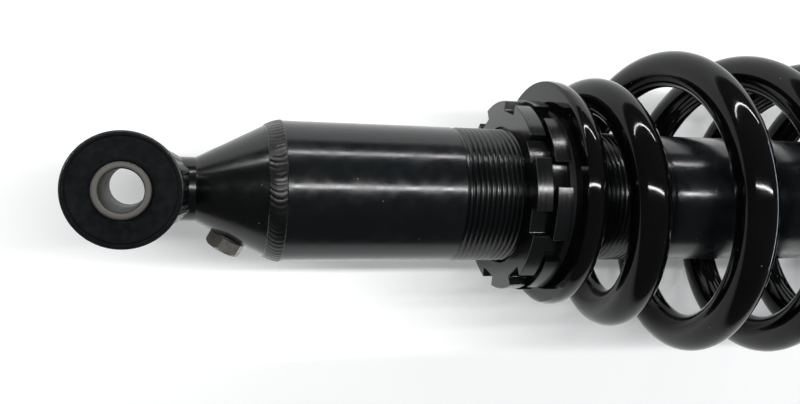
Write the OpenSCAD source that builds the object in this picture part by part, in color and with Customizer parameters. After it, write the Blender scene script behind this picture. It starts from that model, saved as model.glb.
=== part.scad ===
// Monotube coil-over damper, lying along X.
// The origin is the centre of the upper eye's bore. +X points to the rod's end,
// and +Z runs along the bores of both eyes.

/* [Upper and lower eyes] */
// Bore of the steel sleeves, for a 12 mm bolt
eye_bore = 12.5; // [10:0.1:13.5]
// Outside diameter of the sleeves
sleeve_d = 16.5; // [15.5:0.1:20]
// Length of the sleeves
sleeve_len = 45; // [41:1:60]
// Outside diameter of the eye rings
ring_d = 34.2; // [32:0.1:40]
// Wall of the eye rings
ring_wall = 2.4; // [1.5:0.1:4]
// Length of the eye rings
ring_len = 35.5; // [28:0.5:38]
// Thickness of the rubber flange that covers each face of the ring
bush_proud = 1; // [0.5:0.1:1.5]

/* [End cone] */
// Diameter of the neck that is welded to the upper ring
neck_d = 20.1; // [16:0.1:26]
// Length of the straight neck past the ring
neck_len = 3.5; // [1:0.1:8]
// Length of the cone between the neck and the weld
cone_len = 20.7; // [16:0.1:30]
// Diameter of the cone at the weld
cone_d = 41.4; // [38:0.1:44]
// Diameter of the gas pocket inside the cone
pocket_d = 18; // [12:0.5:24]
// Length of the spigot that enters the tube
spigot_len = 4; // [2:0.5:8]

/* [Weld bead] */
// Width of the bead between cone and tube
bead_w = 5.5; // [4:0.1:8]
// How far the bead stands above the tube
bead_proud = 0.25; // [0:0.05:0.5]

/* [Charge plug] */
// Distance of the plug from the cone's small end
plug_along = 10.4; // [7:0.1:13]
// Clock angle of the plug about the damper, 90 points down the lying body
plug_clock = 98; // [60:1:150]
// Angle of the hexagon about its own axis
plug_turn = 50; // [0:1:60]
// Size of the hexagon across its flats
plug_af = 10.7; // [9:0.1:12]
// Height of the hexagon
plug_head = 4.1; // [3:0.1:6]
// Diameter of the plug's thread
plug_thread = 8; // [6:0.5:9]
// Length of the plug's thread
plug_len = 6; // [4:0.5:8]
// Thickness of the sealing washer
plug_washer_t = 0.8; // [0.5:0.1:1.5]
// Depth of the spot face under the washer
spot_depth = 0.75; // [0.5:0.05:1.4]

/* [Body tube] */
// Outside diameter over the thread
tube_d = 45; // [43.8:0.1:46]
// Bore
tube_bore = 36; // [34:0.5:37]
// Outside diameter beyond the thread
slim_d = 44.8; // [42:0.1:44.9]
// Length of the tube
tube_len = 220.5; // [210:0.5:240]
// Plain length before the thread
plain_len = 59.1; // [50:0.1:64]
// Length of the thread
thread_len = 75; // [60:1:78]
// Pitch of the thread
thread_pitch = 1.75; // [1:0.25:2]
// Depth of the thread
thread_depth = 0.8; // [0.4:0.05:0.85]

/* [Ring nuts] */
// Distance from the thread's start to the lock ring
ring_gap = 19.1; // [14:0.1:22]
// Width of the lock ring's notched rim
lock_w = 5.4; // [4:0.1:8]
// Length of the lock ring's collar that bears on the adjuster ring
ring_collar = 1.2; // [0.5:0.1:3]
// Outside diameter of the lock ring
lock_d = 64.4; // [58:0.1:70]
// Number of notches in the lock ring
lock_notches = 8; // [6:1:12]
// Clock angle of the lock ring's first notch
lock_clock = 31; // [0:0.1:45]
// Width of the adjuster ring
adjuster_w = 5.4; // [4:0.1:10]
// How much larger than the lock ring's diameter the adjuster ring's is
adjuster_over = 0.9; // [-2:0.1:6]
// Number of notches in the adjuster ring
adjuster_notches = 8; // [6:1:12]
// Clock angle of the adjuster ring's first notch
adjuster_clock = 14.2; // [0:0.1:45]
// Width of a notch
notch_w = 8; // [5:0.1:10]
// Depth of a notch
notch_depth = 3.6; // [2:0.1:5]
// Thickness of the slip washer under the spring
washer_t = 2.1; // [0.5:0.1:3]
// Outside diameter of the slip washer
washer_d = 60; // [54:1:64]

/* [Spring] */
// Diameter of the wire
wire_d = 12.9; // [11:0.1:13]
// Mean diameter of the end coils
end_coil_d = 64.6; // [64:0.2:72]
// Mean diameter of the full-width coils
coil_d = 96.3; // [84:0.1:98]
// Number of turns from tip to tip
turns = 9; // [8:0.25:9.5]
// Lead of the full-width coils in one turn
coil_pitch = 31.2; // [28:0.1:34]
// Sideways set of the end coils off the damper's axis
end_set = 1; // [0:0.1:1.2]
// Sideways bow of the middle coils
spring_bow = 3.7; // [0:0.1:4]

/* [Rod and piston] */
// Diameter of the rod
rod_d = 14; // [12:0.5:15]
// Diameter of the rod's threaded post at the piston
post_d = 10; // [8:0.5:11]
// Diameter of the rod's lower thread
stud_d = 12; // [10:0.5:12]
// Length of the piston
piston_len = 14; // [10:0.5:18]
// Length of the wear band
band_len = 8; // [5:0.5:9]
// Thickness of each shim stack
shims_t = 2; // [1:0.1:3]
// Height of the piston nut
piston_nut_h = 7; // [5:0.5:9]
// Thickness of the top-out bumper
topout_len = 7; // [4:0.5:9]

/* [Gas piston] */
// Distance from the tube's start to the gas piston
gas_len = 49.5; // [40:0.5:60]
// Length of the gas piston
gas_piston_len = 14; // [10:0.5:18]

/* [Seal head] */
// Length of the rod guide
guide_len = 18; // [15:0.5:20]
// Distance from the tube's end to the guide's outer face
guide_inset = 5; // [4.5:0.1:6]
// Length of the plain bearing in the guide
guide_bush_len = 9; // [6:0.5:10]
// Thickness of the retaining ring
circlip_t = 1.5; // [1:0.1:2]
// Wall of the end cap
cap_wall = 1.4; // [1:0.1:2]
// Length of the end cap over the tube
cap_len = 8; // [5:0.5:12]

/* [Lower end] */
// Length of the bump stop
bump_len = 21; // [15:0.5:22]
// Diameter of the bump stop
bump_d = 34; // [28:0.5:35]
// Thickness of the lower perch
perch_t = 5.5; // [4:0.5:8]
// Outside diameter of the lower perch
perch_d = 86; // [84:0.5:98]
// Height of the perch's rim above its seat
perch_rim = 4; // [2:0.5:6]
// Size of the jam nut across its flats
jam_af = 24; // [22:0.5:27]
// Height of the jam nut
jam_h = 8; // [5:0.5:12]
// Diameter of the lower mount's boss
boss_d = 25; // [20:0.5:27]
// Length of the boss between the jam nut and the ring
boss_len = 16; // [13:0.5:30]

/* [Hidden] */
$fn = 96;

// Radial clearance of pieces that turn or slide on each other
run = 0.05;
// Gap between pieces of one body that are pressed or sealed together
seat = 0.02;
// Gap between flat faces that turn on each other
face_gap = 0.1;
// Overshoot of a cut past the face it opens
eps = 1;
// Chamfer on machined edges
edge = 0.6;
// Gap that the top-out bumper keeps to the rod guide at full extension
stop_gap = 0.3;
// Land of the rod's shoulder before the top-out bumper
shoulder_land = 0.5;
// Width of the spot face round the plug's hexagon
spot_margin = 0.8;
// Clearance of the wear band in its groove, on each side
band_gap = 0.1;
// How far the rubber flange stays inside the ring's outside
flange_step = 0.5;
// Reach of the fillet weld along the stem that it joins to a ring
weld_flare = 1.8;
// Step that the weld bead makes at the cone's end
bead_step = 0.45;
// Depth and wall of the gas piston's cup
cup_depth = 6;
cup_wall = 5;
// How far inside the bore the piston's ports lie
port_inset = 6.8;
// Height of the hub that centres the spring on the lower perch
hub_len = 6;
// How far the lock ring's collar stays inside the notch floors
collar_step = 1;

ring_r = ring_d / 2;
bush_r = ring_r - ring_wall;
tube_r = tube_d / 2;
bore_r = tube_bore / 2;
rod_r = rod_d / 2;

// Stations along X, from the upper eye down
neck_end = ring_r + neck_len;
cone_end = neck_end + cone_len;
tube_start = cone_end + bead_w * 0.45;
bead_end = cone_end + bead_w;
thread_start = tube_start + plain_len;
thread_end = thread_start + thread_len;
tube_end = tube_start + tube_len;
lock_x = thread_start + ring_gap;
adjuster_x = lock_x + lock_w + ring_collar + face_gap;
adjuster_d = lock_d + adjuster_over;
washer_x = adjuster_x + adjuster_w + face_gap;
spring_x = washer_x + washer_t;

// The groove that the weld bead fills
groove_r = tube_r - bead_w * 0.55;

guide_x = tube_end - guide_inset - guide_len;
topout_x = guide_x - stop_gap - topout_len;
shoulder_x = topout_x - shoulder_land;
piston_x = shoulder_x - shims_t - piston_len;
nut_x = piston_x - shims_t - piston_nut_h;
gas_x = tube_start + gas_len;

// Spring: turns are counted from the first tip, t = 0
wire_r = wire_d / 2;
closed_turns = 0.55;
rise_turns = 0.5;
lead_turns = 0.9;
lead_blend = 0.63;
taper_start = 0.74;
taper_turns = 1.74;
tip_x = wire_d * 0.1;
closed_lead = wire_d * 0.273;
closed_rise = wire_d * 0.857;
RINGS_PER_TURN = 8;
WIRE_SIDES = 6;
rings = turns * RINGS_PER_TURN;
spring_len = 2 * coil_rise(turns / 2);
perch_x = spring_x + spring_len;

jam_x = perch_x + perch_t;
boss_x = jam_x + jam_h;
lower_x = boss_x + boss_len + ring_r;
bump_x = perch_x - bump_len;

cone_slope = atan((cone_d - neck_d) / 2 / cone_len);
plug_x = neck_end + plug_along;
plug_r = neck_d / 2 + plug_along * tan(cone_slope);
spot_r = plug_af / 2 + spot_margin;

// Lays a shape that is drawn along Z along X, its foot at x
module along_x(x = 0) {
    translate([x, 0, 0]) rotate([0, 90, 0]) children();
}

// A turned piece: its outline is given as [x, radius] points
module turned(outline) {
    rotate([0, 90, 0]) rotate_extrude()
        polygon([for (p = outline) [p[1], p[0]]]);
}

// A plain tube along X
module sleeve_x(x, len, r, bore) {
    turned([[x, bore], [x + len, bore], [x + len, r], [x, r]]);
}

// An O-ring around X
module o_ring(x, r_outer, section) {
    along_x(x) rotate_extrude()
        translate([r_outer - section / 2, 0]) circle(d = section, $fn = 32);
}

// ---- eyes ----

module eye_sleeve() {
    difference() {
        cylinder(d = sleeve_d, h = sleeve_len, center = true);
        cylinder(d = eye_bore, h = sleeve_len + 2 * eps, center = true);
    }
}

module eye_ring() {
    difference() {
        cylinder(r = ring_r, h = ring_len, center = true);
        cylinder(r = bush_r, h = ring_len + 2 * eps, center = true);
    }
}

// The rubber bush has a flange over each end of its ring, with a shallow moulded line
module eye_bush() {
    half = ring_len / 2 + bush_proud;
    under = ring_len / 2 + seat;
    inner = sleeve_d / 2 + run;
    outer = bush_r - seat;
    flange_r = ring_r - flange_step;
    line_r = flange_r * 0.93;
    line_w = 0.5;
    line_depth = 0.25;
    face = [
        [inner, half], [line_r - line_w, half], [line_r, half - line_depth], [line_r + line_w, half],
        [flange_r, half], [flange_r, under], [outer, under]
    ];
    rotate_extrude()
        polygon(concat(face, [for (i = [len(face) - 1:-1:0]) [face[i][0], -face[i][1]]]));
}

// A fillet weld where a round stem of radius r meets a ring's outside
module stem_weld(r) {
    foot = ring_r * 0.7;
    toe = ring_r + neck_len * 0.8;
    difference() {
        turned([
            [foot, 0], [foot, r + weld_flare + 1], [ring_r - 2, r + weld_flare],
            [toe, r + 0.1], [toe, 0]
        ]);
        cylinder(r = ring_r, h = ring_len * 2, center = true);
        along_x() cylinder(r = r, h = toe + eps);
    }
}

module upper_sleeve() { color("dimgray") eye_sleeve(); }

module upper_bush() { color([0.10, 0.10, 0.11]) eye_bush(); }

module upper_eye_ring() { color([0.05, 0.05, 0.05]) eye_ring(); }

module eye_weld() { color([0.05, 0.05, 0.05]) stem_weld(neck_d / 2); }

module lower_sleeve() { color("dimgray") translate([lower_x, 0, 0]) eye_sleeve(); }

module lower_bush() { color([0.10, 0.10, 0.11]) translate([lower_x, 0, 0]) eye_bush(); }

module lower_eye_ring() { color([0.05, 0.05, 0.05]) translate([lower_x, 0, 0]) eye_ring(); }

module lower_eye_weld() {
    color([0.05, 0.05, 0.05]) translate([lower_x, 0, 0]) mirror([1, 0, 0]) stem_weld(boss_d / 2);
}

// ---- gas end ----

// Places a child on the cone's flank, its own +Z pointing straight out of the flank
module on_flank() {
    rotate([plug_clock, 0, 0]) translate([plug_x, 0, plug_r]) rotate([0, -cone_slope, 0]) children();
}

module end_cone() {
    spigot_r = bore_r - seat;
    color([0.05, 0.05, 0.05]) difference() {
        turned([
            [ring_r * 0.5, 0], [ring_r * 0.5, neck_d / 2], [neck_end, neck_d / 2],
            [cone_end, cone_d / 2], [tube_start, groove_r], [tube_start, spigot_r],
            [tube_start + spigot_len, spigot_r], [tube_start + spigot_len, 0]
        ]);
        cylinder(r = ring_r, h = ring_len * 2, center = true);
        along_x(neck_end + 4) cylinder(d = pocket_d, h = tube_start + spigot_len);
        on_flank() translate([0, 0, -spot_depth]) cylinder(r = spot_r, h = plug_head + spot_depth);
        on_flank() translate([0, 0, -plug_len - 2]) cylinder(d = plug_thread + 2 * seat, h = plug_len + 4);
    }
}

module charge_plug() {
    foot = plug_washer_t - spot_depth;
    flat_r = plug_af / 2;
    corner_r = flat_r / cos(30);
    chamfer = 0.95;
    color([0.32, 0.32, 0.30]) on_flank() {
        translate([0, 0, foot]) intersection() {
            rotate([0, 0, plug_turn]) cylinder(r = corner_r, h = plug_head, $fn = 6);
            rotate_extrude() polygon([
                [0, 0], [corner_r + run, 0], [corner_r + run, plug_head - chamfer],
                [flat_r, plug_head], [0, plug_head]
            ]);
        }
        translate([0, 0, foot - plug_len]) cylinder(d = plug_thread, h = plug_len);
    }
}

module plug_washer() {
    color("black") on_flank() translate([0, 0, -spot_depth]) difference() {
        cylinder(r = spot_r - 0.5, h = plug_washer_t);
        translate([0, 0, -eps]) cylinder(d = plug_thread + 2 * seat, h = plug_washer_t + 2 * eps);
    }
}

module cone_weld() {
    crown = tube_r + bead_proud;
    color([0.06, 0.06, 0.06]) turned([
        [cone_end, cone_d / 2], [cone_end + bead_w * 0.05, cone_d / 2 + bead_step],
        [cone_end + bead_w * 0.6, crown - 0.3], [cone_end + bead_w * 0.9, crown],
        [bead_end, tube_r], [tube_start, groove_r]
    ]);
}

// ---- tube ----

thread_count = floor(thread_len / thread_pitch);
// Depth of the retaining ring's groove in the bore
clip_depth = 1;

// One groove of the thread, drawn as a closed ring
function groove(i) =
    let (x = thread_start + i * thread_pitch, land = thread_pitch * 0.12)
    [
        [x + land, tube_r], [x + thread_pitch / 2 - land, tube_r - thread_depth],
        [x + thread_pitch / 2 + land, tube_r - thread_depth], [x + thread_pitch - land, tube_r]
    ];

module body_tube() {
    clip_x = guide_x + guide_len;
    step = (tube_d - slim_d) / 2;
    clip_end = clip_x + circlip_t + seat;
    clip_r = bore_r + clip_depth;
    color([0.04, 0.045, 0.05]) turned(concat(
        [[tube_start, bore_r], [tube_start, groove_r], [bead_end, tube_r]],
        [for (i = [0:thread_count - 1]) each groove(i)],
        [
            [thread_end, tube_r], [thread_end + step, slim_d / 2],
            [tube_end - edge, slim_d / 2], [tube_end, slim_d / 2 - edge], [tube_end, bore_r],
            [clip_end, bore_r], [clip_end, clip_r], [clip_x, clip_r], [clip_x, bore_r]
        ]
    ));
}

// ---- ring nuts and spring ----

// A ring nut from x: its rim is w wide and notched, the first notch at clock, and a
// plain collar can stand on the far side of the rim
module ring_nut(x, w, d, count, clock, collar = 0) {
    r = d / 2;
    bore = tube_r + run;
    collar_r = r - notch_depth - collar_step;
    far = x + w;
    difference() {
        turned(concat(
            [
                [x, bore], [x, r - edge / 2], [x + edge / 2, r],
                [far - edge / 2, r], [far, r - edge / 2]
            ],
            collar > 0
                ? [[far, collar_r], [far + collar, collar_r], [far + collar, bore]]
                : [[far, bore]]
        ));
        for (i = [0:count - 1])
            rotate([90 - clock - i * 360 / count, 0, 0])
                translate([x - eps, r - notch_depth, -notch_w / 2]) cube([w + 2 * eps, r, notch_w]);
    }
}

module lock_ring() {
    color([0.09, 0.09, 0.10])
        ring_nut(lock_x, lock_w, lock_d, lock_notches, lock_clock, ring_collar);
}

module adjuster_ring() {
    color([0.09, 0.09, 0.10])
        ring_nut(adjuster_x, adjuster_w, adjuster_d, adjuster_notches, adjuster_clock);
}

module slip_washer() {
    color([0.15, 0.15, 0.16]) sleeve_x(washer_x, washer_t, washer_d / 2, tube_r + 3 * run);
}

function smooth(u) = let (v = min(max(u, 0), 1)) v * v * (3 - 2 * v);

// Integral of a lead that grows evenly from 0 to 1 over the blend
function ramp(u, blend) = u <= 0 ? 0 : u < blend ? u * u / (2 * blend) : u - blend / 2;

// Height of the wire's centre over its own seat, t turns from that tip
function coil_rise(t) =
    tip_x + closed_lead * t + closed_rise * smooth((t - closed_turns) / rise_turns)
    + (coil_pitch - closed_lead) * ramp(t - lead_turns, lead_blend);

// The same for the whole spring, which has two like ends
function wire_x(t) = t <= turns / 2 ? coil_rise(t) : spring_len - coil_rise(turns - t);

function coil_r(t) =
    let (from_tip = min(t, turns - t))
    (end_coil_d + (coil_d - end_coil_d) * smooth((from_tip - taper_start) / taper_turns)) / 2;

// Sideways place of the coil's centre: set off at the ends and bowed in the middle
function coil_shift(x) = end_set - spring_bow * pow(sin(180 * x / spring_len), 2);
function coil_tilt(x) =
    -spring_bow * sin(360 * x / spring_len) * PI / spring_len;

// The first tip lies behind the tube, before the top
first_clock = -43;
function wire_point(t, dr = 0, dx = 0) =
    let (a = first_clock + 360 * t, x = wire_x(t), r = coil_r(t) + dr)
    [
        spring_x + min(max(x + dx - coil_tilt(x) * r * cos(a), 0), spring_len),
        r * cos(a) + coil_shift(x),
        r * sin(a)
    ];

function wire_ring(i) =
    let (t = i / RINGS_PER_TURN)
    [
        for (k = [0:WIRE_SIDES - 1])
            let (a = (k + 0.5) * 360 / WIRE_SIDES)
            wire_point(t, wire_r * cos(a), wire_r * sin(a))
    ];

// Least distance between centre points a turn apart, less the wire
spring_gap = min([
    for (i = [0:rings - RINGS_PER_TURN])
        let (t = i / RINGS_PER_TURN)
        norm([wire_x(t + 1) - wire_x(t), coil_r(t + 1) - coil_r(t)]) - wire_d
]);

module coil_spring() {
    echo(least_gap_of_spring_mm = spring_gap);
    points = [for (i = [0:rings]) each wire_ring(i)];
    last = rings * WIRE_SIDES;
    sides = [
        for (i = [0:rings - 1], k = [0:WIRE_SIDES - 1])
            let (a = i * WIRE_SIDES + k, b = i * WIRE_SIDES + (k + 1) % WIRE_SIDES)
            each [[a, b, b + WIRE_SIDES], [a, b + WIRE_SIDES, a + WIRE_SIDES]]
    ];
    // Each tip is closed by a fan from a corner that the grinding leaves alone
    start = [for (k = [1:WIRE_SIDES - 2]) [1, (k + 2) % WIRE_SIDES, (k + 1) % WIRE_SIDES]];
    finish = [
        for (k = [1:WIRE_SIDES - 2])
            [last + 4, last + (k + 4) % WIRE_SIDES, last + (k + 5) % WIRE_SIDES]
    ];
    color([0.03, 0.03, 0.035]) polyhedron(points, concat(sides, start, finish));
}

// ---- gas piston ----

seal_section = 2.5;
// Width of an O-ring's groove
o_groove_w = seal_section + 0.4;

module floating_piston() {
    r = bore_r - 2 * run;
    end = gas_x + gas_piston_len;
    cup_r = r - cup_wall;
    cup_x = gas_x + cup_depth;
    groove_from = gas_x + gas_piston_len / 2 - o_groove_w / 2;
    groove_to = groove_from + o_groove_w;
    floor_r = bore_r - run - seal_section - seat;
    color("silver") turned([
        [cup_x, 0], [cup_x, cup_r], [gas_x, cup_r], [gas_x, r - edge], [gas_x + edge, r],
        [groove_from, r], [groove_from, floor_r], [groove_to, floor_r], [groove_to, r],
        [end - edge, r], [end, r - edge], [end, 0]
    ]);
}

module floating_piston_seal() {
    color("black") o_ring(gas_x + gas_piston_len / 2, bore_r - run, seal_section);
}

// ---- rod and piston ----

module piston_nut() {
    color("silver") along_x(nut_x) difference() {
        cylinder(d = post_d * 1.6 / cos(30), h = piston_nut_h, $fn = 6);
        translate([0, 0, -eps]) cylinder(d = post_d + 2 * seat, h = piston_nut_h + 2 * eps);
    }
}

// Thin discs of falling size, the widest against the piston
module shim_stack(x, dir) {
    leaf = dir * shims_t / 4;
    leaf_r = [for (less = [4.5, 5.7, 6.9, 8.5]) bore_r - less];
    difference() {
        turned(concat(
            [[x, 0]],
            [for (i = [0:3]) each [[x + i * leaf, leaf_r[i]], [x + (i + 1) * leaf, leaf_r[i]]]],
            [[x + 4 * leaf, 0]]
        ));
        along_x(x - 2 * shims_t) cylinder(d = post_d + 2 * seat, h = 4 * shims_t);
    }
}

module rebound_shims() { color("lightsteelblue") shim_stack(piston_x, -1); }

module compression_shims() { color("lightsteelblue") shim_stack(piston_x + piston_len, 1); }

piston_r = bore_r - 8 * run;
band_floor_r = piston_r - 1.6;

module piston() {
    from = piston_x + (piston_len - band_len) / 2;
    to = from + band_len;
    end = piston_x + piston_len;
    port_d = 4;
    port_ring = bore_r - port_inset;
    ports = 6;
    color("goldenrod") difference() {
        turned([
            [piston_x, post_d / 2 + seat], [piston_x, piston_r - edge], [piston_x + edge, piston_r],
            [from, piston_r], [from, band_floor_r], [to, band_floor_r], [to, piston_r],
            [end - edge, piston_r], [end, piston_r - edge], [end, post_d / 2 + seat]
        ]);
        for (i = [0:ports - 1])
            rotate([i * 360 / ports, 0, 0]) translate([0, port_ring, 0])
                along_x(piston_x - eps) cylinder(d = port_d, h = piston_len + 2 * eps);
    }
}

module piston_band() {
    x = piston_x + (piston_len - band_len) / 2 + band_gap;
    color([0.2, 0.35, 0.3]) sleeve_x(x, band_len - 2 * band_gap, bore_r - run, band_floor_r + seat);
}

module piston_rod() {
    post_x = nut_x - 2;
    stud_end = boss_x + boss_len * 0.75;
    lead_in = edge / 2;
    color("gainsboro") turned([
        [post_x, 0], [post_x, post_d / 2 - edge], [post_x + edge, post_d / 2],
        [shoulder_x, post_d / 2], [shoulder_x, rod_r - lead_in], [shoulder_x + lead_in, rod_r],
        [jam_x - lead_in, rod_r], [jam_x, rod_r - lead_in], [jam_x, stud_d / 2],
        [stud_end - edge, stud_d / 2], [stud_end, stud_d / 2 - edge], [stud_end, 0]
    ]);
}

module rebound_bumper() {
    r = bore_r - 3.5;
    end = topout_x + topout_len;
    inner = rod_r + seat;
    color([0.12, 0.12, 0.12]) turned([
        [topout_x, inner], [topout_x, r - 1], [topout_x + 1, r], [end - 2, r], [end, r - 3], [end, inner]
    ]);
}

// ---- seal head ----

nose_len = 3.6;
nose_r = 12;
bush_t = 1.5;
seal_t = 4.2;
seal_len = 5;
wiper_t = 3;
wiper_len = 3;
guide_land = 1;
bush_x = guide_x + guide_land;
seal_x = bush_x + guide_bush_len + guide_land;

module rod_guide() {
    r = bore_r - seat;
    end = guide_x + guide_len;
    nose_end = end + nose_len;
    groove_from = guide_x + guide_len / 2 - o_groove_w / 2;
    groove_to = groove_from + o_groove_w;
    floor_r = r - seal_section - seat;
    bore = rod_r + 4 * run;
    bush_r_out = rod_r + bush_t + seat;
    seal_r_out = rod_r + seal_t + seat;
    wiper_r_out = rod_r + wiper_t + seat;
    color("silver") turned([
        [guide_x, bore], [guide_x, r - guide_land], [guide_x + guide_land, r],
        [groove_from, r], [groove_from, floor_r], [groove_to, floor_r], [groove_to, r],
        [end, r], [end, nose_r], [nose_end, nose_r], [nose_end, wiper_r_out],
        [nose_end - wiper_len, wiper_r_out], [nose_end - wiper_len, bore],
        [seal_x + seal_len, bore], [seal_x + seal_len, seal_r_out], [seal_x, seal_r_out], [seal_x, bore],
        [bush_x + guide_bush_len, bore], [bush_x + guide_bush_len, bush_r_out],
        [bush_x, bush_r_out], [bush_x, bore]
    ]);
}

module guide_bush() {
    color("darkkhaki") sleeve_x(bush_x + seat, guide_bush_len - 2 * seat, rod_r + bush_t, rod_r + run);
}

module guide_seal() {
    color("black") o_ring(guide_x + guide_len / 2, bore_r - seat, seal_section);
}

module rod_seal() {
    color("saddlebrown") sleeve_x(seal_x + seat, seal_len - 2 * seat, rod_r + seal_t, rod_r + run);
}

module rod_wiper() {
    x = guide_x + guide_len + nose_len - wiper_len + seat;
    end = x + wiper_len - 2 * seat;
    lip = 1;
    color("black") turned([
        [x, rod_r + 3 * run], [x, rod_r + wiper_t], [end, rod_r + wiper_t],
        [end, rod_r + run], [end - lip, rod_r + run]
    ]);
}

// Open retaining ring in its groove in the tube
module guide_circlip() {
    gap_w = 5;
    x = guide_x + guide_len + seat;
    color("dimgray") difference() {
        sleeve_x(x, circlip_t - seat, bore_r + clip_depth - seat, bore_r - 2.4);
        translate([x - eps, 0, -gap_w / 2]) cube([circlip_t + 2 * eps, bore_r * 2, gap_w]);
    }
}

module end_cap() {
    face_x = tube_end + seat;
    inner = slim_d / 2 + seat;
    hole = rod_r + 0.8;
    color([0.05, 0.05, 0.05]) turned([
        [tube_end - cap_len, inner], [tube_end - cap_len, inner + cap_wall],
        [face_x + cap_wall - edge, inner + cap_wall], [face_x + cap_wall, inner + cap_wall - edge],
        [face_x + cap_wall, hole], [face_x, hole], [face_x, inner]
    ]);
}

// ---- lower end ----

module bump_stop() {
    r = bump_d / 2;
    inner = rod_r + seat;
    foot = perch_x - seat;
    ribs = 3;
    step = bump_len / ribs;
    waist = 2.5;
    waist_x = [for (i = [1:ribs - 1]) bump_x + i * step];
    color([0.75, 0.68, 0.35]) turned(concat(
        [[bump_x, inner], [bump_x, r - 2 * waist], [bump_x + step * 0.35, r - waist]],
        [for (x = waist_x) each [[x - 1, r - waist / 2], [x, r - 2 * waist], [x + 1, r]]],
        [[foot, r], [foot, inner]]
    ));
}

module lower_perch() {
    r = perch_d / 2;
    end = perch_x + perch_t;
    bore = rod_r + 0.5;
    rim_w = 2;
    rim_x = perch_x - perch_rim;
    hub_out = end_coil_d / 2 - wire_r * 1.45;
    hub_in = bump_d / 2 + 0.5;
    hub_x = perch_x - hub_len;
    color([0.06, 0.06, 0.06]) turned([
        [perch_x, bore], [perch_x, hub_in], [hub_x, hub_in], [hub_x, hub_out - 1],
        [hub_x + 1, hub_out], [perch_x, hub_out], [perch_x, r - rim_w], [rim_x, r - rim_w * 0.8],
        [rim_x, r], [end - 2, r], [end, r - 2], [end, bore]
    ]);
}

module jam_nut() {
    top_r = jam_af / 2 + 0.3;
    fall = jam_af - top_r;
    color("silver") along_x(jam_x) difference() {
        intersection() {
            cylinder(d = jam_af / cos(30), h = jam_h, $fn = 6);
            rotate_extrude() polygon([
                [0, 0], [top_r, 0], [jam_af, fall], [jam_af, jam_h - fall], [top_r, jam_h], [0, jam_h]
            ]);
        }
        translate([0, 0, -eps]) cylinder(d = stud_d + 2 * seat, h = jam_h + 2 * eps);
    }
}

module lower_mount() {
    boss_r = boss_d / 2;
    end = lower_x - ring_r * 0.5;
    color([0.06, 0.06, 0.06]) difference() {
        turned([[boss_x, 0], [boss_x, boss_r - 1], [boss_x + 1, boss_r], [end, boss_r], [end, 0]]);
        translate([lower_x, 0, 0]) cylinder(r = ring_r, h = ring_len * 2, center = true);
        along_x(boss_x - eps) cylinder(d = stud_d + 2 * seat, h = boss_len * 0.8 + eps);
    }
}

upper_sleeve();
upper_bush();
upper_eye_ring();
eye_weld();
end_cone();
charge_plug();
plug_washer();
cone_weld();
body_tube();
lock_ring();
adjuster_ring();
slip_washer();
coil_spring();
floating_piston();
floating_piston_seal();
piston_nut();
rebound_shims();
piston();
piston_band();
compression_shims();
piston_rod();
rebound_bumper();
rod_guide();
guide_bush();
guide_seal();
rod_seal();
rod_wiper();
guide_circlip();
end_cap();
bump_stop();
lower_perch();
jam_nut();
lower_mount();
lower_eye_weld();
lower_eye_ring();
lower_bush();
lower_sleeve();
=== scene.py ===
"""Coil-over damper lying on a white table.

Units are metres in the CAD's frame: the origin is the centre of the upper eye's bore,
+X runs down the damper to the rod's end, and +Z runs along the bores of both eyes.
"""

import math

import bpy
from mathutils import Euler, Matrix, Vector


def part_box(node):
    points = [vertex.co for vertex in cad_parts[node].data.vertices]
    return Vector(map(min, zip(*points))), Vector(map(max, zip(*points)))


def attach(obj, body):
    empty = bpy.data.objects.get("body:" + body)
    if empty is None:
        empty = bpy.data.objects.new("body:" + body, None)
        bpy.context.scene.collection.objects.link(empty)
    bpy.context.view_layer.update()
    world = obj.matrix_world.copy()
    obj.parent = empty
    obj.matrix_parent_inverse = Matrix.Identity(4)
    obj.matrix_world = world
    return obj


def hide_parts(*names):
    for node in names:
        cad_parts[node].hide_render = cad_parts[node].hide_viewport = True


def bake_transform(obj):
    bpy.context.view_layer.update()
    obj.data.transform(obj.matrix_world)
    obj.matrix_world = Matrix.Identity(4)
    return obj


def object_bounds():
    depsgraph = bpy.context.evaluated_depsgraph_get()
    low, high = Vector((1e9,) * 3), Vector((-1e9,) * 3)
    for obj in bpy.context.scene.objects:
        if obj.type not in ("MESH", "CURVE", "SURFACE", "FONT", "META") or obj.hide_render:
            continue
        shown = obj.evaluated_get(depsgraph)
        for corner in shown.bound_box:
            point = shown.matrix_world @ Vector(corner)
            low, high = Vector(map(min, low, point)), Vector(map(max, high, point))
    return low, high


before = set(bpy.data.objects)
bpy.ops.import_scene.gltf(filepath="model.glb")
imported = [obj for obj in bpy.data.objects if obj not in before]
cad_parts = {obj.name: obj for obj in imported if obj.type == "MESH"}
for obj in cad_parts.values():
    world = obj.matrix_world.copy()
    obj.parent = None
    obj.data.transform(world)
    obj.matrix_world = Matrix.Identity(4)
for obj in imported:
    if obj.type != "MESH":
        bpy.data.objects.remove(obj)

MM = 0.001
TAU = 2 * math.pi
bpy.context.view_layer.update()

# ---- sizes, in millimetres, as the part's source has them ----

EYE_BORE_R = 6.25
SLEEVE_R = 8.25
RING_WALL = 2.4
NECK_R = 10.05
CONE_R = 20.7
BEAD_STEP = 0.45
BEAD_ROOT_R = 19.475
PLAIN_LEN = 59.1
THREAD_PITCH = 1.75
THREAD_DEPTH = 0.8
SLIM_R = 22.4
THREAD_LEN = 75.0
TUBE_BORE_R = 18.0
WIRE_R = 6.45
END_COIL_D = 64.6
COIL_D = 96.3
TURNS = 9.0
COIL_PITCH = 31.2
END_SET = 1.0
SPRING_BOW = 3.7
FIRST_CLOCK = -43
NOTCH_W = 8.0
NOTCH_DEPTH = 3.6
LOCK_NOTCHES = 8
LOCK_CLOCK = 31.0
LOCK_COLLAR = 1.2
ADJUSTER_NOTCHES = 8
ADJUSTER_CLOCK = 14.2


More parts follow.
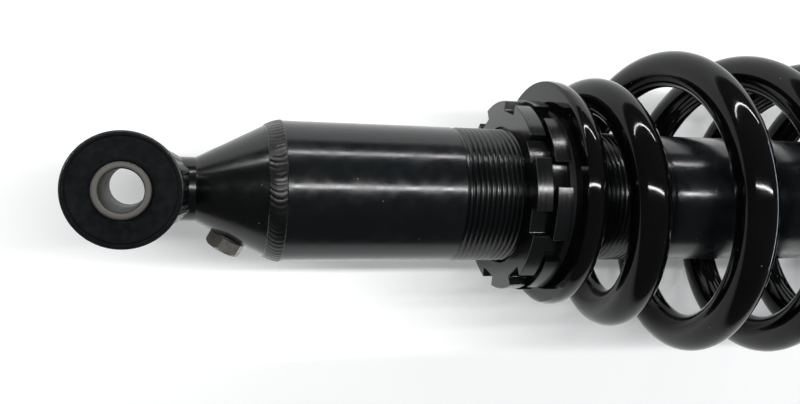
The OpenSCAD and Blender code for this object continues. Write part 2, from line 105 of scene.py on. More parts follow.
def low_mm(node):
    """A CAD node's lowest corner in millimetres."""
    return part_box(node)[0] / MM


def high_mm(node):
    """A CAD node's highest corner in millimetres."""
    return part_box(node)[1] / MM


RING_R = high_mm("upper_eye_ring").y
RING_HALF = high_mm("upper_eye_ring").z
BUSH_HALF = high_mm("upper_bush").z
BUSH_R = high_mm("upper_bush").y
SLEEVE_HALF = high_mm("upper_sleeve").z
LOWER_EYE_X = (low_mm("lower_sleeve").x + high_mm("lower_sleeve").x) / 2
TUBE_START = low_mm("body_tube").x
TUBE_END = high_mm("body_tube").x
TUBE_R = high_mm("body_tube").y
BEAD_START = low_mm("cone_weld").x
BEAD_END = high_mm("cone_weld").x
BEAD_R = high_mm("cone_weld").y
SPRING_X = low_mm("coil_spring").x
SPRING_END = high_mm("coil_spring").x
SPRING_LEN = SPRING_END - SPRING_X

# ---- modelling helpers ----


def clear_selection():
    if bpy.context.object and bpy.context.object.mode == "EDIT":
        bpy.ops.object.mode_set(mode="OBJECT")
    bpy.ops.object.select_all(action="DESELECT")


def start_piece(name, primitive, **options):
    """Adds a primitive with nothing else selected and names it."""
    clear_selection()
    primitive(**options)
    piece = bpy.context.object
    piece.name = name
    piece.data.name = name
    return piece


def edit_all():
    bpy.ops.object.mode_set(mode="EDIT")
    bpy.ops.mesh.select_all(action="SELECT")


def close_and_orient(merge=1e-7):
    """Merges doubles, closes open ends and turns the faces outwards."""
    bpy.ops.mesh.select_all(action="SELECT")
    bpy.ops.mesh.remove_doubles(threshold=merge)
    bpy.ops.mesh.select_all(action="SELECT")
    bpy.ops.mesh.fill_holes(sides=0)
    bpy.ops.mesh.select_all(action="SELECT")
    bpy.ops.mesh.normals_make_consistent(inside=False)
    bpy.ops.object.mode_set(mode="OBJECT")


def smooth_by_angle(degrees):
    bpy.ops.object.shade_smooth_by_angle(angle=math.radians(degrees), keep_sharp_edges=False)


def finish_piece(piece, material, body, slot, *nodes):
    """Gives a piece its material and its body, and hides the CAD nodes that it stands for. The slot is
    not used.
    """
    piece.data.materials.clear()
    piece.data.materials.append(material)
    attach(piece, body)
    if nodes:
        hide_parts(*nodes)


def rounded(outline, radius, steps=4):
    """A closed outline with each corner turned into an arc, smaller where a side is short."""
    made = []
    count = len(outline)
    for i, corner in enumerate(outline):
        here = Vector(corner)
        back = Vector(outline[i - 1]) - here
        ahead = Vector(outline[(i + 1) % count]) - here
        angle = back.angle(ahead)
        if angle > math.radians(172):
            made.append(here)
            continue
        reach = radius / math.tan(angle / 2)
        reach = min(reach, back.length * 0.45, ahead.length * 0.45)
        first = here + back.normalized() * reach
        last = here + ahead.normalized() * reach
        for k in range(steps + 1):
            share = k / steps
            made.append(first.lerp(here, share).lerp(here.lerp(last, share), share))
    return made


def lathe(name, outline, steps=160, axis="X", along=0.0, smooth=32):
    """Spins a closed outline of (along, radius) millimetres round the X or Z axis."""
    piece = start_piece(name, bpy.ops.mesh.primitive_circle_add, vertices=len(outline), radius=1)
    for vertex, (a, r) in zip(piece.data.vertices, outline):
        vertex.co = Vector((a, r, 0)) * MM if axis == "X" else Vector((r, 0, a)) * MM
    edit_all()
    direction = (1, 0, 0) if axis == "X" else (0, 0, 1)
    bpy.ops.mesh.spin(steps=steps, angle=TAU, center=(0, 0, 0), axis=direction)
    bpy.ops.mesh.select_all(action="SELECT")
    bpy.ops.transform.translate(value=(along * MM, 0, 0))
    close_and_orient()
    smooth_by_angle(smooth)
    return piece


def wrapped(name, across, lengthways, place, smooth=40):
    """A grid laid by place(u, v): u runs once round a closed section and v along it."""
    piece = start_piece(
        name, bpy.ops.mesh.primitive_grid_add,
        x_subdivisions=across, y_subdivisions=lengthways, size=1)
    for vertex in piece.data.vertices:
        vertex.co = Vector(place(vertex.co.x + 0.5, vertex.co.y + 0.5)) * MM
    edit_all()
    close_and_orient()
    smooth_by_angle(smooth)
    return piece


def ripple(value):
    """A smooth sum of sines that looks like noise, from -1 to 1."""
    waves = math.sin(value) + math.sin(value * 2.31 + 1.3) * 0.6 + math.sin(value * 5.17 + 4.1) * 0.3
    return waves / 1.9


# ---- materials ----


class Finish:
    """A node material built in plain steps."""

    def __init__(self, name):
        self.material = bpy.data.materials.new(name)
        self.material.use_nodes = True
        self.nodes = self.material.node_tree.nodes
        self.links = self.material.node_tree.links
        self.shader = self.nodes["Principled BSDF"]
        self.coordinates = self.nodes.new("ShaderNodeTexCoord").outputs["Object"]

    def set(self, **values):
        for key, value in values.items():
            self.shader.inputs[key.replace("_", " ")].default_value = value

    def feed(self, socket, output):
        self.links.new(output, self.shader.inputs[socket])

    def add(self, kind, inputs=None, **settings):
        node = self.nodes.new(kind)
        for key, value in settings.items():
            setattr(node, key, value)
        for key, value in (inputs or {}).items():
            if isinstance(value, bpy.types.NodeSocket):
                self.links.new(value, node.inputs[key])
            else:
                node.inputs[key].default_value = value
        return node

    def math(self, operation, a, b=0.0):
        return self.add("ShaderNodeMath", {0: a, 1: b}, operation=operation).outputs[0]

    def split(self):
        node = self.add("ShaderNodeSeparateXYZ", {0: self.coordinates})
        return node.outputs[0], node.outputs[1], node.outputs[2]

    def join(self, x=0.0, y=0.0, z=0.0):
        return self.add("ShaderNodeCombineXYZ", {0: x, 1: y, 2: z}).outputs[0]

    def noise(self, scale, detail=3.0, roughness=0.55, vector=None):
        node = self.add("ShaderNodeTexNoise", {
            "Vector": vector or self.coordinates, "Scale": scale,
            "Detail": detail, "Roughness": roughness})
        return node.outputs["Fac"]

    def spread(self, value, low, high, start=0.3, end=0.7):
        node = self.add("ShaderNodeMapRange", {
            "Value": value, "From Min": start, "From Max": end, "To Min": low, "To Max": high})
        return node.outputs[0]

    def ramp(self, value, *stops):
        node = self.add("ShaderNodeValToRGB", {0: value})
        bar = node.color_ramp
        while len(bar.elements) < len(stops):
            bar.elements.new(0.5)
        for element, (at, colour) in zip(bar.elements, stops):
            element.position = at
            element.color = colour
        return node.outputs[0]

    def blended(self, share, first, second):
        node = self.nodes.new("ShaderNodeMix")
        node.data_type = "RGBA"
        colours = [socket for socket in node.inputs if socket.type == "RGBA"]
        self.links.new(share, node.inputs["Factor"])
        self.links.new(first, colours[0])
        colours[1].default_value = second
        return next(socket for socket in node.outputs if socket.type == "RGBA")

    def mottle(self, cloud, colour, dark, light, start=0.3, end=0.7):
        """A colour that goes from a darker to a lighter shade with the cloud."""
        low = tuple(c * dark for c in colour[:3]) + (1,)
        high = tuple(min(c * light, 1) for c in colour[:3]) + (1,)
        return self.ramp(cloud, (start, low), (end, high))

    def distance(self, a, b):
        squares = self.math("ADD", self.math("MULTIPLY", a, a), self.math("MULTIPLY", b, b))
        return self.math("SQRT", squares)

    def bump(self, height, depth_mm, strength=1.0, under=None):
        node = self.add("ShaderNodeBump", {
            "Height": height, "Distance": depth_mm * MM, "Strength": strength})
        if under:
            self.links.new(under, node.inputs["Normal"])
        self.links.new(node.outputs[0], self.shader.inputs["Normal"])
        return node.outputs[0]


def tone(red, green, blue):
    """A colour from 0 to 255 sRGB values as the shader wants it."""
    def linear(level):
        share = level / 255
        return share / 12.92 if share <= 0.04045 else ((share + 0.055) / 1.055) ** 2.4
    return linear(red), linear(green), linear(blue), 1.0


SPRING_IOR = 1.33
BODY_IOR = 1.45
SPECK_SCALE = 190
SPECK_SIZE = 0.05
SPECK_COLOUR = tone(96, 98, 96)


def gloss_paint(name, colour, roughness, ior, peel_mm, grain_mm, grain_scale=2600):
    """Paint with a soft orange peel, a fine sparkle and a few specks of dust in it."""
    look = Finish(name)
    look.set(IOR=ior)
    coat = look.mottle(look.noise(60, 4), colour, 0.8, 1.3, 0.35)
    cells = look.add("ShaderNodeTexVoronoi", {"Vector": look.coordinates, "Scale": SPECK_SCALE})
    speck = look.spread(cells.outputs["Distance"], 1.0, 0.0, SPECK_SIZE * 0.7, SPECK_SIZE)
    look.feed("Base Color", look.blended(speck, coat, SPECK_COLOUR))
    look.feed("Roughness", look.spread(look.noise(240, 4), roughness * 0.75, roughness * 1.35))
    peel = look.bump(look.noise(420, 2), peel_mm)
    look.bump(look.noise(grain_scale, 2, 0.6), grain_mm, under=peel)
    return look.material


def turned_metal(name, colour, metallic, roughness, line_mm, line_scale=2500, centre_x=None):
    """Metal with fine lathe lines: rings round the X axis, or round a Z axis at centre_x."""
    look = Finish(name)
    look.set(Metallic=metallic)
    x, y, z = look.split()
    if centre_x is None:
        radius = look.distance(y, z)
        along = x
    else:
        radius = look.distance(look.math("SUBTRACT", x, centre_x * MM), y)
        along = z
    rings = look.noise(line_scale, 2, 0.7, look.join(along, radius))
    cloud = look.noise(90, 5)
    look.feed("Base Color", look.mottle(cloud, colour, 0.75, 1.3))
    rough = look.math("MULTIPLY", look.spread(rings, 0.8, 1.25), look.spread(cloud, 0.85, 1.2))
    look.feed("Roughness", look.math("MULTIPLY", rough, roughness))
    look.bump(rings, line_mm)
    return look.material


def rubber(name, colour, centre_x):
    """Moulded rubber: matt, a little mottled, with faint rings from its mould."""
    look = Finish(name)
    look.set(Specular_IOR_Level=0.12)
    x, y = look.split()[:2]
    radius = look.distance(look.math("SUBTRACT", x, centre_x * MM), y)
    rings = look.noise(900, 1, 0.5, look.join(radius))
    look.feed("Base Color", look.mottle(look.noise(160, 6, 0.65), colour, 0.7, 1.45, end=0.72))
    look.feed("Roughness", look.spread(look.noise(500, 4), 0.62, 0.86))
    fine = look.bump(look.noise(1500, 4, 0.7), 0.05)
    look.bump(rings, 0.06, 0.6, under=fine)
    return look.material


def plain_finish(name, colour, metallic, roughness, scale, depth_mm):
    """A simple worked surface with light mottling and grain."""
    look = Finish(name)
    look.set(Metallic=metallic)
    look.feed("Base Color", look.mottle(look.noise(scale * 0.4, 5), colour, 0.8, 1.2))
    look.feed("Roughness", look.spread(look.noise(scale, 4), roughness * 0.8, roughness * 1.25))
    look.bump(look.noise(scale * 3, 3), depth_mm)
    return look.material


BODY_PAINT = gloss_paint("body_gloss_black", tone(11, 14, 16), 0.18, BODY_IOR, 0.012, 0.0016)
CONE_PAINT = gloss_paint("cone_gloss_black", tone(4, 5, 5), 0.19, BODY_IOR, 0.02, 0.003)
WELD_PAINT = gloss_paint("weld_gloss_black", tone(4, 5, 4), 0.3, BODY_IOR, 0.05, 0.02, 1800)
STEM_WELD_PAINT = gloss_paint("stem_weld_gloss_black", tone(7, 8, 8), 0.16, BODY_IOR, 0.04, 0.004)
EYE_PAINT = gloss_paint("eye_satin_black", tone(9, 10, 11), 0.26, BODY_IOR, 0.02, 0.006)
SPRING_PAINT = gloss_paint("spring_gloss_black", tone(7, 7, 8), 0.07, SPRING_IOR, 0.01, 0.0012)
PERCH_PAINT = gloss_paint("perch_satin_black", tone(18, 19, 20), 0.3, BODY_IOR, 0.02, 0.005)
THREAD_FINISH = turned_metal("thread_satin_black", tone(4, 5, 6), 0, 0.22, 0.006)
RING_ANODISE = turned_metal("ring_black_anodise", tone(8, 9, 10), 0, 0.18, 0.02)
SLEEVE_LOOK = (tone(76, 74, 70), 0.7, 0.48, 0.012, 1600)
UPPER_SLEEVE_STEEL = turned_metal("upper_sleeve_steel", *SLEEVE_LOOK, 0)
LOWER_SLEEVE_STEEL = turned_metal("lower_sleeve_steel", *SLEEVE_LOOK, LOWER_EYE_X)
UPPER_RUBBER = rubber("upper_bush_rubber", tone(7, 9, 12), 0)
LOWER_RUBBER = rubber("lower_bush_rubber", tone(7, 9, 12), LOWER_EYE_X)
PLUG_STEEL = plain_finish("plug_dark_steel", tone(140, 138, 130), 0.85, 0.4, 700, 0.02)
SEAL_RUBBER = plain_finish("seal_black_rubber", tone(28, 28, 29), 0, 0.6, 500, 0.02)
NYLON = plain_finish("washer_black_nylon", tone(11, 11, 12), 0, 0.55, 500, 0.015)
CHROME = turned_metal("rod_hard_chrome", tone(205, 206, 208), 1, 0.1, 0.002, 3000)
BRIGHT_ALUMINIUM = turned_metal("bright_aluminium", tone(190, 191, 192), 1, 0.3, 0.012)
SINTERED = plain_finish("piston_sintered_iron", tone(112, 104, 92), 0.8, 0.5, 1200, 0.03)
SHIM_STEEL = turned_metal("shim_blued_steel", tone(120, 128, 142), 1, 0.25, 0.004)
ZINC = plain_finish("nut_bright_zinc", tone(176, 178, 180), 1, 0.32, 500, 0.01)
LINING = plain_finish("bearing_bronze_lining", tone(122, 112, 84), 0.6, 0.45, 900, 0.01)
BAND_PLASTIC = plain_finish("band_green_plastic", tone(38, 66, 58), 0, 0.5, 900, 0.01)

# ---- camera ----

CAMERA_AT = (0.014344, 0.010109, 0.263422)
CAMERA_TILT = (-0.0481, -0.2690, 0.0284)
CAMERA_LENS = 36.9

clear_selection()
bpy.ops.object.camera_add(location=CAMERA_AT)
camera = bpy.context.object
camera.rotation_mode = "ZXY"
camera.rotation_euler = Euler(CAMERA_TILT, "ZXY")
camera.data.lens = CAMERA_LENS
camera.data.sensor_width = 36.0
camera.data.clip_start = 0.01
camera.data.clip_end = 20
bpy.context.scene.camera = camera

# ---- eyes ----

EDGE_EASE = 0.5
BUSH_PLAY = 0.05
# Share of a weld's closed section that is its visible outside; the rest is its hidden root
OUTSIDE = 0.75


def make_sleeve(name, material, x, body, node):
    outline = rounded([
        (-SLEEVE_HALF, EYE_BORE_R), (-SLEEVE_HALF, SLEEVE_R),
        (SLEEVE_HALF, SLEEVE_R), (SLEEVE_HALF, EYE_BORE_R)], EDGE_EASE)
    piece = lathe(name, outline, 128, "Z", x)
    finish_piece(piece, material, body, "sleeve_steel", node)


def make_eye_ring(name, x, body, node):
    inner = RING_R - RING_WALL
    outline = rounded([
        (-RING_HALF, inner), (-RING_HALF, RING_R), (RING_HALF, RING_R), (RING_HALF, inner)], EDGE_EASE)
    piece = lathe(name, outline, 160, "Z", x)
    finish_piece(piece, EYE_PAINT, body, "eye_paint", node)


def make_bush(name, material, x, body, node):
    """Rubber that fills the ring and folds over each end of it as a flange."""
    inner = SLEEVE_R + BUSH_PLAY
    outer = RING_R - RING_WALL - 0.02
    under = RING_HALF + 0.02
    line_r = BUSH_R * 0.93
    top = [
        (BUSH_HALF - 0.7, inner), (BUSH_HALF - 0.25, inner + 0.12), (BUSH_HALF - 0.06, inner + 0.4),
        (BUSH_HALF - 0.12, inner + 1.4), (BUSH_HALF - 0.1, line_r - 1.0),
        (BUSH_HALF - 0.02, line_r - 0.42),
        (BUSH_HALF - 0.1, line_r - 0.2), (BUSH_HALF - 0.28, line_r), (BUSH_HALF - 0.1, line_r + 0.2),
        (BUSH_HALF, line_r + 0.42), (BUSH_HALF - 0.05, BUSH_R - 0.35), (BUSH_HALF - 0.2, BUSH_R - 0.1),
        (BUSH_HALF - 0.42, BUSH_R), (under + 0.15, BUSH_R), (under, BUSH_R - 0.15), (under, outer)]
    bottom = [(-height, radius) for height, radius in reversed(top)]
    piece = lathe(name, top + bottom, 160, "Z", x, smooth=50)
    finish_piece(piece, material, body, "bush_rubber", node)


def make_stem_weld(name, stem_r, x, way, body, node):
    """A rippled fillet where a round stem meets the side of the eye ring, with two lumps in it."""
    leg = 1.9
    beads = 26
    unevenness = 0.14
    scallop_depth = 0.16
    belly_depth = 0.42
    lump_at = (0.95, 2.27)
    lump_height = 0.45
    lump_spread = 0.15
    sunk = 0.12

    def place(u, v):
        phi = TAU * v
        lump = 1 + unevenness * ripple(phi * beads / 4) + 0.1 * math.sin(phi * 3 + 0.7)
        lump += sum(lump_height * math.exp(-((phi - at) / lump_spread) ** 2) for at in lump_at)
        reach = leg * lump
        if u <= OUTSIDE:
            share = u / OUTSIDE
            out = 1 - math.sin(share * math.pi / 2)
            up = 1 - math.cos(share * math.pi / 2)
            middle = math.sin(share * math.pi)
            scallop = scallop_depth * abs(math.sin(phi * beads / 2 + share * 1.4)) * middle
            bulge = (scallop + belly_depth * middle) * 0.75
            rho = stem_r + reach * out + bulge
            lift = reach * up + bulge
        else:
            share = (u - OUTSIDE) / (1 - OUTSIDE)
            rho = stem_r - 0.6 + 0.6 * abs(share * 2 - 1) + (leg * lump if share == 1 else 0)
            lift = reach * (1 - share) - 0.4 * math.sin(share * math.pi)
        side = rho * math.cos(phi)
        wall = math.sqrt(max(RING_R ** 2 - side ** 2, 0.0)) - sunk
        return x + way * (wall + lift), side, rho * math.sin(phi)

    piece = wrapped(name, 20, 320, place)
    finish_piece(piece, STEM_WELD_PAINT, body, "eye_paint", node)


make_sleeve("upper_sleeve_steel", UPPER_SLEEVE_STEEL, 0, "upper_sleeve", "upper_sleeve")
make_sleeve("lower_sleeve_steel", LOWER_SLEEVE_STEEL, LOWER_EYE_X, "lower_sleeve", "lower_sleeve")
make_eye_ring("upper_ring", 0, "damper_body", "upper_eye_ring")
make_eye_ring("lower_ring", LOWER_EYE_X, "rod", "lower_eye_ring")
make_bush("upper_rubber", UPPER_RUBBER, 0, "damper_body", "upper_bush")
make_bush("lower_rubber", LOWER_RUBBER, LOWER_EYE_X, "rod", "lower_bush")
make_stem_weld("upper_fillet_weld", NECK_R, 0, 1, "damper_body", "eye_weld")
make_stem_weld("lower_fillet_weld", high_mm("lower_mount").y, LOWER_EYE_X, -1, "rod", "lower_eye_weld")

# ---- weld bead between cone and tube ----

# Half the number of crests round the bead, the radians that they bow back at its edges, their height
BEAD_RIPPLES = 38
BEAD_SAG = 2.3
RIPPLE_HEIGHT = 0.1
# Shares of the bead's width: the end of its rise at the cone, the top of its bow, the start of its fall
BEAD_RISE = 0.05
BOW_TOP = 0.55
BEAD_TURN = 0.9


def bead_crown(share):
    """The bead's outside at a share of its width: a step up at the cone, then straight to the tube."""
    low = CONE_R + BEAD_STEP
    if share < BEAD_RISE:
        return CONE_R - 0.1 + (BEAD_STEP + 0.1) * math.sin(share / BEAD_RISE * math.pi / 2)
    if share > BEAD_TURN:
        past = (share - BEAD_TURN) / (1 - BEAD_TURN)
        return BEAD_R - (BEAD_R - TUBE_R + 0.05) * past ** 2
    lift = (share - BEAD_RISE) / (BEAD_TURN - BEAD_RISE)
    return low + (BEAD_R - low) * (lift + 0.16 * math.sin(lift * math.pi))


def place_bead(u, v):
    phi = TAU * v
    if u <= OUTSIDE:
        share = u / OUTSIDE
        window = min(share / 0.1, (1 - share) / 0.1, 1)
        stack = phi * BEAD_RIPPLES + BEAD_SAG * 4 * (share - BOW_TOP) ** 2 + 0.4 * ripple(phi * 9)
        depth = RIPPLE_HEIGHT * (0.8 + 0.3 * ripple(phi * 13))
        radius = bead_crown(share) - depth * (1 - abs(math.sin(stack))) * window
    else:
        share = 1 - (u - OUTSIDE) / (1 - OUTSIDE)
        radius = bead_crown(share) - 0.8 * math.sin(share * math.pi)
    sway = 0.1 * ripple(phi * 7) * math.sin(share * math.pi)
    x = BEAD_START + share * (BEAD_END - BEAD_START) + sway
    return x, min(radius, BEAD_R) * math.cos(phi), min(radius, BEAD_R) * math.sin(phi)


bead = wrapped("cone_bead", 32, 1140, place_bead)
finish_piece(bead, WELD_PAINT, "damper_body", "body_paint", "cone_weld")

# ---- body tube with its thread ----

thread_start = TUBE_START + PLAIN_LEN
thread_end = thread_start + THREAD_LEN
root_r = TUBE_R - THREAD_DEPTH
tube_outline = [
    (TUBE_START, TUBE_BORE_R), (TUBE_START, BEAD_ROOT_R), (BEAD_END, TUBE_R),
    (thread_start - 0.1, TUBE_R), (thread_start + THREAD_DEPTH * 0.8, root_r),
    (thread_end - THREAD_DEPTH, root_r), (thread_end, SLIM_R),
    (TUBE_END - 0.6, SLIM_R), (TUBE_END - 0.2, SLIM_R - 0.2), (TUBE_END, SLIM_R - 0.6),
    (TUBE_END, TUBE_BORE_R)]
tube_wall = lathe("tube_wall", tube_outline, 192)
finish_piece(tube_wall, BODY_PAINT, "damper_body", "body_paint", "body_tube")

# The ridge's section: shares of the pitch and of the depth
THREAD_PROFILE = [
    (-0.5, -0.05), (-0.4, 0.16), (-0.15, 0.9), (-0.08, 1.0),
    (0.08, 1.0), (0.15, 0.9), (0.4, 0.16), (0.5, -0.05)]
FADE_TURNS = 0.3
THREAD_STEPS = 72
RIDGE_SHIFT = 0.55


def place_thread(u, v):
    """A ridge wound round the tube, faded in and out over a part of a turn."""
    turns = THREAD_LEN / THREAD_PITCH - 1
    turn = v * turns
    fade = min(turn / FADE_TURNS, (turns - turn) / FADE_TURNS, 1)
    corners = len(THREAD_PROFILE)
    share, height = THREAD_PROFILE[int(round(u * corners)) % corners]
    phi = TAU * turn
    radius = root_r + (height * fade if height > 0 else height) * THREAD_DEPTH
    x = thread_start + THREAD_PITCH * (turn + RIDGE_SHIFT + share)
    return x, radius * math.cos(phi), radius * math.sin(phi)


thread_rings = int(THREAD_LEN / THREAD_PITCH * THREAD_STEPS)
thread = wrapped("tube_thread", len(THREAD_PROFILE), thread_rings, place_thread, smooth=30)
finish_piece(thread, THREAD_FINISH, "damper_body", "body_paint")

# ---- ring nuts ----

NOTCH_EASE = 0.28
RIM_EASE = 0.24
NUT_PLAY = 0.05
FACE_CHAMFER = 0.9
BACK_CHAMFER = 0.5
MITRE_LIMIT = 0.6
LUG_STEPS = 14
# How far the lock ring's collar, and a loop of each face, stays inside the notch floors
COLLAR_STEP = 1.0


def castellated_outline(radius, notches, clock):
    """Points round a rim with eased notches, each (y, z, clock angle that its inner loops take)."""
    floor = radius - NOTCH_DEPTH
    half = NOTCH_W / 2
    ease = NOTCH_EASE
    top = math.sqrt(radius ** 2 - half ** 2)
    wall_angle = math.atan(half / (floor - COLLAR_STEP))
    right_wall = [
        (half + ease, top - 0.03, 1.03), (half + ease * 0.3, top - ease * 0.3, 1.02),
        (half, top - ease, 1.01), (half, floor + ease * 1.6, 1.0),
        (half - ease * 0.5, floor + ease * 0.45, 0.97), (half - ease * 1.6, floor, 0.93)]
    left_wall = [(-side, height, -share) for side, height, share in right_wall]
    gap = math.asin((half + ease) / radius)
    lug = TAU / notches - 2 * gap
    points = []
    for i in range(notches):
        turn = math.radians(clock) + i * TAU / notches
        for side, height, share in left_wall + [(0.0, floor, 0.0)] + right_wall[::-1]:
            points.append((
                height * math.sin(turn) + side * math.cos(turn),
                height * math.cos(turn) - side * math.sin(turn), turn + share * wall_angle))
        for k in range(1, LUG_STEPS):
            angle = turn + gap + lug * k / LUG_STEPS
            points.append((radius * math.sin(angle), radius * math.cos(angle), angle))
    return points


def make_ring_nut(name, node, notches, clock, collar):
    """Stacked loops: bore, face, rim, rim, face, collar, bore, bridged into one closed ring."""
    x0, x2 = low_mm(node).x, high_mm(node).x
    x1 = x2 - collar
    radius = max(math.hypot(v.co.y, v.co.z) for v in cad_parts[node].data.vertices) / MM
    outline = castellated_outline(radius, notches, clock)
    rim = [point[:2] for point in outline]
    count = len(rim)
    bore = TUBE_R + NUT_PLAY
    shoulder = radius - NOTCH_DEPTH - COLLAR_STEP

    def circle(r):
        return [(r * math.sin(point[2]), r * math.cos(point[2])) for point in outline]

    def inset(amount):
        """The rim moved inwards, square to its own sides."""
        made = []
        for i, point in enumerate(rim):
            here = Vector(point)
            back = (here - Vector(rim[i - 1])).normalized()
            ahead = (Vector(rim[(i + 1) % count]) - here).normalized()
            along = (back + ahead).normalized()
            out = Vector((-along.y, along.x))
            reach = amount / max(out.dot(Vector((-back.y, back.x))), MITRE_LIMIT)
            made.append(tuple(here - out * reach))
        return made

    ease = RIM_EASE
    loops = [
        (x0 + FACE_CHAMFER, circle(bore)), (x0, circle(bore + FACE_CHAMFER)), (x0, circle(shoulder)),
        (x0, inset(ease)), (x0 + ease * 0.35, inset(ease * 0.35)),
        (x0 + ease, rim), (x1 - ease, rim), (x1 - ease * 0.35, inset(ease * 0.35)),
        (x1, inset(ease)), (x1, circle(shoulder))]
    if collar:
        loops += [(x2, circle(shoulder))]
    loops += [(x2, circle(bore + BACK_CHAMFER)), (x2 - BACK_CHAMFER, circle(bore))]
    rows = len(loops)
    piece = start_piece(
        name, bpy.ops.mesh.primitive_grid_add, x_subdivisions=count, y_subdivisions=rows, size=1)
    for vertex in piece.data.vertices:
        column = int(round((vertex.co.x + 0.5) * count)) % count
        row = int(round((vertex.co.y + 0.5) * rows)) % rows
        x, loop = loops[row]
        y, z = loop[column]
        vertex.co = Vector((x, y, z)) * MM
    edit_all()
    close_and_orient()
    smooth_by_angle(24)
    return piece


lock = make_ring_nut("lock_nut", "lock_ring", LOCK_NOTCHES, LOCK_CLOCK, LOCK_COLLAR)
finish_piece(lock, RING_ANODISE, "lock_ring", "ring_anodise", "lock_ring")
adjuster = make_ring_nut("adjuster_nut", "adjuster_ring", ADJUSTER_NOTCHES, ADJUSTER_CLOCK, 0.0)
finish_piece(adjuster, RING_ANODISE, "adjuster", "ring_anodise", "adjuster_ring")

# ---- spring ----


def smooth(value):
    share = min(max(value, 0), 1)
    return share * share * (3 - 2 * share)


def ramp(value, blend):
    """Integral of a lead that grows evenly from 0 to 1 over the blend."""
    if value <= 0:
        return 0
    return value * value / (2 * blend) if value < blend else value - blend / 2


# In turns from a tip, as the part's source has them: the closed turns, the rise over the tip after
# them, the start and growth of the free lead, and the start and length of the widening
CLOSED_TURNS = 0.55
RISE_TURNS = 0.5
LEAD_TURNS = 0.9
LEAD_BLEND = 0.63
TAPER_START = 0.74
TAPER_TURNS = 1.74
TIP_X = WIRE_R * 0.2
CLOSED_LEAD = WIRE_R * 0.546
CLOSED_RISE = WIRE_R * 1.714


def coil_rise(t):
    rise = CLOSED_RISE * smooth((t - CLOSED_TURNS) / RISE_TURNS)
    free = (COIL_PITCH - CLOSED_LEAD) * ramp(t - LEAD_TURNS, LEAD_BLEND)
    return TIP_X + CLOSED_LEAD * t + rise + free


def wire_x(t):
    return coil_rise(t) if t <= TURNS / 2 else SPRING_LEN - coil_rise(TURNS - t)


def coil_r(t):
    from_tip = min(t, TURNS - t)
    width = smooth((from_tip - TAPER_START) / TAPER_TURNS)
    return (END_COIL_D + (COIL_D - END_COIL_D) * width) / 2


def coil_shift(x):
    return END_SET - SPRING_BOW * math.sin(math.pi * x / SPRING_LEN) ** 2


def coil_tilt(x):
    return -SPRING_BOW * math.sin(TAU * x / SPRING_LEN) * math.pi / SPRING_LEN


def wire_point(t, around):
    """A point on the wire's surface; both ends are ground flat square to the axis."""
    angle = math.radians(FIRST_CLOCK) + TAU * t
    x = wire_x(t)
    r = coil_r(t) + WIRE_R * math.cos(around)
    place = x + WIRE_R * math.sin(around) - coil_tilt(x) * r * math.cos(angle)
    return (
        SPRING_X + min(max(place, 0), SPRING_LEN),
        r * math.cos(angle) + coil_shift(x),
        r * math.sin(angle))


WIRE_SIDES = 24
WIRE_STEPS = 96


def make_spring_part(name, first, last):
    """A stretch of wire between two turns, with each point's turn from the tip kept in a "turn"
    attribute.
    """
    rings = int(round((last - first) * WIRE_STEPS))
    piece = start_piece(
        name, bpy.ops.mesh.primitive_grid_add,
        x_subdivisions=WIRE_SIDES, y_subdivisions=rings, size=1)
    turn_of = piece.data.attributes.new("turn", "FLOAT", "POINT")
    for vertex, turn in zip(piece.data.vertices, turn_of.data):
        t = first + (last - first) * (vertex.co.y + 0.5)
        turn.value = t
        vertex.co = Vector(wire_point(t, TAU * (vertex.co.x + 0.5))) * MM
    edit_all()
    close_and_orient(1e-8)
    smooth_by_angle(50)
    piece.data.materials.clear()
    piece.data.materials.append(SPRING_PAINT)
    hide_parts("coil_spring")
    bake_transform(piece)


# The parts meet on the third coil's underside, at a clock angle of two turns and three quarters
SPLIT_CLOCK = 990
SPLIT_TURN = (SPLIT_CLOCK - FIRST_CLOCK) / 360
make_spring_part("spring_upper_turns", 0, SPLIT_TURN)
make_spring_part("spring_lower_turns", SPLIT_TURN, TURNS)

# ---- bump stop ----

BUMP_BORE_R = 7.02
BUMP_WAVES = 3
BUMP_WAVE_DEPTH = 3.4
BUMP_TAPER = 0.18
BUMP_STEPS = 48


def make_bump_stop():
    low, high = low_mm("bump_stop"), high_mm("bump_stop")
    radius = high.y
    length = high.x - low.x
    outer = []
    for k in range(BUMP_STEPS + 1):
        share = k / BUMP_STEPS
        wave = math.cos(share * BUMP_WAVES * TAU) * 0.5 + 0.5
        taper = 1 - BUMP_TAPER * (1 - share) ** 2
        outer.append((low.x + share * length, (radius - BUMP_WAVE_DEPTH * wave) * taper))
    outline = rounded([(low.x, BUMP_BORE_R)] + outer + [(high.x, BUMP_BORE_R)], EDGE_EASE)
    piece = lathe("bump_stop_foam", outline, 128, smooth=70)
    look = Finish("microcellular_foam")
    look.set(Specular_IOR_Level=0.25)
    cloud = look.noise(220, 6)
    look.feed("Base Color", look.ramp(cloud, (0.3, tone(168, 150, 84)), (0.7, tone(206, 190, 122))))
    look.feed("Roughness", look.spread(look.noise(400, 4), 0.7, 0.95))
    look.bump(look.noise(1800, 3), 0.12)
    finish_piece(piece, look.material, "rod", "bump_foam", "bump_stop")


make_bump_stop()

# ---- finishes of the CAD's own nodes ----

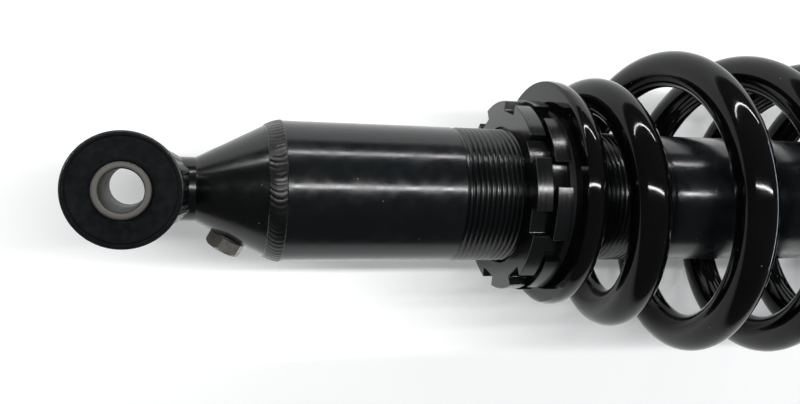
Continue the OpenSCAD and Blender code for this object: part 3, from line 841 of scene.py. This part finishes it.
NODE_FINISHES = {
    "end_cone": CONE_PAINT, "charge_plug": PLUG_STEEL, "plug_washer": SEAL_RUBBER,
    "slip_washer": NYLON, "floating_piston": BRIGHT_ALUMINIUM,
    "floating_piston_seal": SEAL_RUBBER, "piston_nut": ZINC, "rebound_shims": SHIM_STEEL,
    "piston": SINTERED, "piston_band": BAND_PLASTIC, "compression_shims": SHIM_STEEL,
    "piston_rod": CHROME, "rebound_bumper": SEAL_RUBBER, "rod_guide": BRIGHT_ALUMINIUM,
    "guide_bush": LINING, "guide_seal": SEAL_RUBBER, "rod_seal": SEAL_RUBBER,
    "rod_wiper": SEAL_RUBBER, "guide_circlip": SHIM_STEEL, "end_cap": PERCH_PAINT,
    "lower_perch": PERCH_PAINT, "jam_nut": ZINC, "lower_mount": EYE_PAINT}
for node, material in NODE_FINISHES.items():
    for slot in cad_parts[node].material_slots:
        slot.material = material

# ---- table and light ----

TABLE_GLOW = 0.12
TABLE_SIZE = 60
ROOM_LIGHT = 0.13
ROOM_COLOUR = (0.8, 0.82, 0.84, 1)
MIDDLE_X = 0.2
STRIP_LEN = 3.0

floor_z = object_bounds()[0].z
table = start_piece(
    "table_top", bpy.ops.mesh.primitive_plane_add, size=TABLE_SIZE, location=(MIDDLE_X, 0, floor_z))
bpy.ops.object.transform_apply(location=True)
paper = Finish("white_table")
paper.set(Base_Color=tone(246, 247, 247), Roughness=0.6, Specular_IOR_Level=0.2)
paper.set(Emission_Color=(1, 1, 1, 1))
rays = paper.add("ShaderNodeLightPath").outputs
seen = paper.math("MAXIMUM", rays["Is Camera Ray"], paper.math(
    "MAXIMUM", rays["Is Glossy Ray"], rays["Is Transmission Ray"]))
paper.feed("Emission Strength", paper.math("MULTIPLY", seen, TABLE_GLOW))
table.data.materials.append(paper.material)


def area_lamp(name, centre, turn, size, watts, colour=(1, 1, 1)):
    """A soft rectangular lamp that the camera doesn't see."""
    clear_selection()
    bpy.ops.object.light_add(type="AREA", location=centre)
    lamp = bpy.context.object
    lamp.name = name
    lamp.data.shape = "RECTANGLE"
    lamp.data.size, lamp.data.size_y = size
    lamp.data.energy = watts
    lamp.data.color = colour
    lamp.rotation_euler = turn
    lamp.visible_camera = False


def strip_lamp(name, distance, lean, width, watts):
    """A long lamp along X, leaning from straight up towards +Y, that shines at the damper's axis."""
    angle = math.radians(lean)
    centre = Vector((MIDDLE_X, distance * math.sin(angle), distance * math.cos(angle)))
    area_lamp(name, centre, (math.atan2(-centre.y, centre.z), 0, 0), (STRIP_LEN, width), watts)


strip_lamp("overhead_strip", distance=1.6, lean=10, width=0.06, watts=32)
strip_lamp("side_strip", distance=1.5, lean=67, width=0.03, watts=19)

# A low cool window past the rod's end, which draws the thin line down each coil's right flank
area_lamp(
    "low_window", centre=(2.2, 0.0, 0.17), turn=(0, math.radians(90), 0), size=(0.08, 1.8),
    watts=7, colour=(0.72, 0.86, 1.0))

world = bpy.data.worlds.new("room")
bpy.context.scene.world = world
world.use_nodes = True
room = world.node_tree.nodes["Background"]
room.inputs[0].default_value = ROOM_COLOUR
room.inputs[1].default_value = ROOM_LIGHT

bpy.context.scene.view_settings.view_transform = "Standard"
